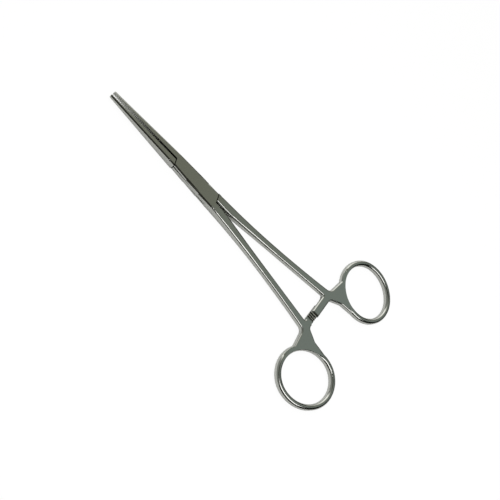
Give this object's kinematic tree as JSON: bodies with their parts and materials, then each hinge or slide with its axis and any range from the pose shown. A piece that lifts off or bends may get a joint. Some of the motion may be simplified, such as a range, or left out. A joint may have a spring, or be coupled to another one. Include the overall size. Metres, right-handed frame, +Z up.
{
  "type": "hemostat forceps",
  "caption": "Straight slender artery forceps in satin stainless steel, with serrated jaws, a box lock, finger rings and a ratchet that holds the jaws closed.",
  "frame": {"origin": "on the hinge axis, at the flat underside of the box lock, on which the instrument lies", "axes": "+X along the instrument from the hinge towards the finger rings, +Y across it towards the ring of the tongue half, +Z up along the hinge pin"},
  "size_m": [0.1606, 0.083, 0.0046],
  "materials": {
    "box_half_steel": "satin glass-beaded stainless steel",
    "tongue_half_steel": "satin glass-beaded stainless steel",
    "pin_steel": "satin stainless steel, ground flush"
  },
  "bodies": {
    "box_body": {"box_half": "box_half_steel", "lock_pin": "pin_steel"},
    "tongue_body": {"tongue_half": "tongue_half_steel"}
  },
  "joints": [
    {"name": "jaw_hinge", "type": "hinge", "parent": "box_body", "child": "tongue_body", "pos_m": [0, 0, 0.0023], "axis": [0, 0, 1], "range_deg": [-1.5, 40]}
  ]
}
